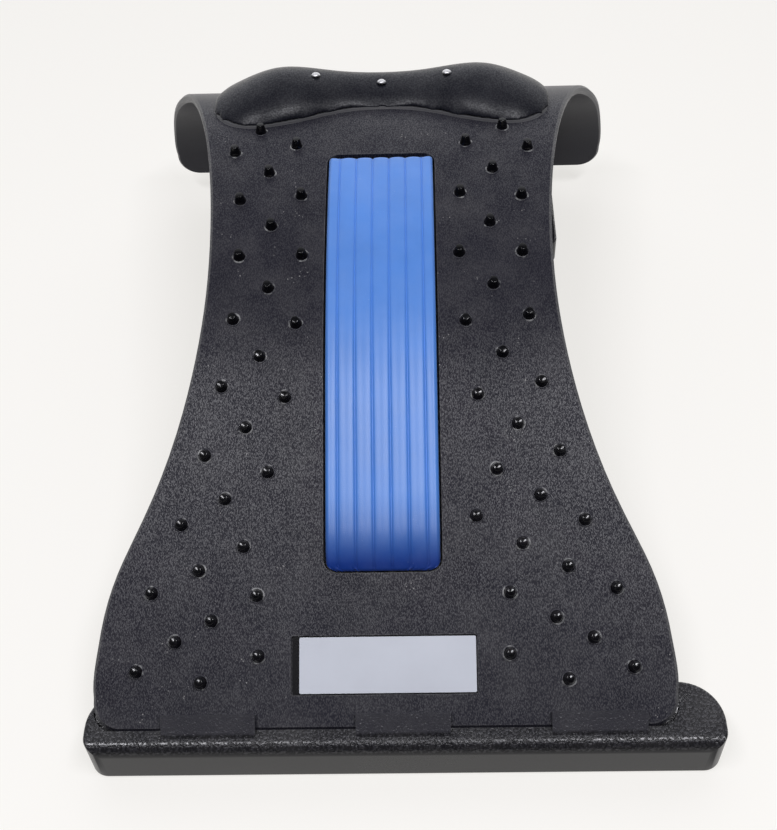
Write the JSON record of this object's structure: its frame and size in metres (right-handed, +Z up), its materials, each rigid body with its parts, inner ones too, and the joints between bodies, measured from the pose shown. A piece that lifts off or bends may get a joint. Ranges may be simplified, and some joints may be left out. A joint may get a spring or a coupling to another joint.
{
  "type": "arched back stretcher",
  "caption": "Hourglass massage panel bent into an arch over a flat base, with small studs, a fluted centre pad, a two-lobed neck pillow and level grooves for the panel's rear edge.",
  "frame": {"origin": "on the floor under the middle of the base, at the underside of its feet", "axes": "+Z up, -Y towards the front bar with the hooks, +X to the right seen from the front"},
  "size_m": [0.2752, 0.3962, 0.1322],
  "materials": {
    "base_plastic": "moulded plastic with a coarse grain on its top faces",
    "foot_rubber": "matt",
    "panel_plastic": "dark grey moulded plastic with a leather-like grain",
    "tray_plastic": "smooth matt moulded plastic",
    "pad_foam": "soft closed-cell foam with a dull skin",
    "stud_rubber": "smooth and slightly glossy",
    "pillow_base_plastic": "smooth",
    "pillow_rubber": "satin with a very fine grain",
    "dot_steel": "polished nickel plate"
  },
  "bodies": {
    "base": {"base_frame": "base_plastic", "front_left_foot": "foot_rubber", "front_right_foot": "foot_rubber", "rear_left_foot": "foot_rubber", "rear_right_foot": "foot_rubber"},
    "arch": {"arch_panel": "panel_plastic", "pad_tray": "tray_plastic", "spine_pad": "pad_foam", "left_outer_studs": "stud_rubber", "left_middle_studs": "stud_rubber", "left_inner_studs": "stud_rubber", "left_front_studs": "stud_rubber", "right_outer_studs": "stud_rubber", "right_middle_studs": "stud_rubber", "right_inner_studs": "stud_rubber", "right_front_studs": "stud_rubber", "pillow_base": "pillow_base_plastic", "neck_pillow": "pillow_rubber", "pillow_dots": "dot_steel"}
  },
  "joints": [
    {"name": "arch_lift", "type": "hinge", "parent": "base", "child": "arch", "pos_m": [0, -0.18541, 0.02357], "axis": [1, 0, 0], "range_deg": [0, 15]}
  ]
}
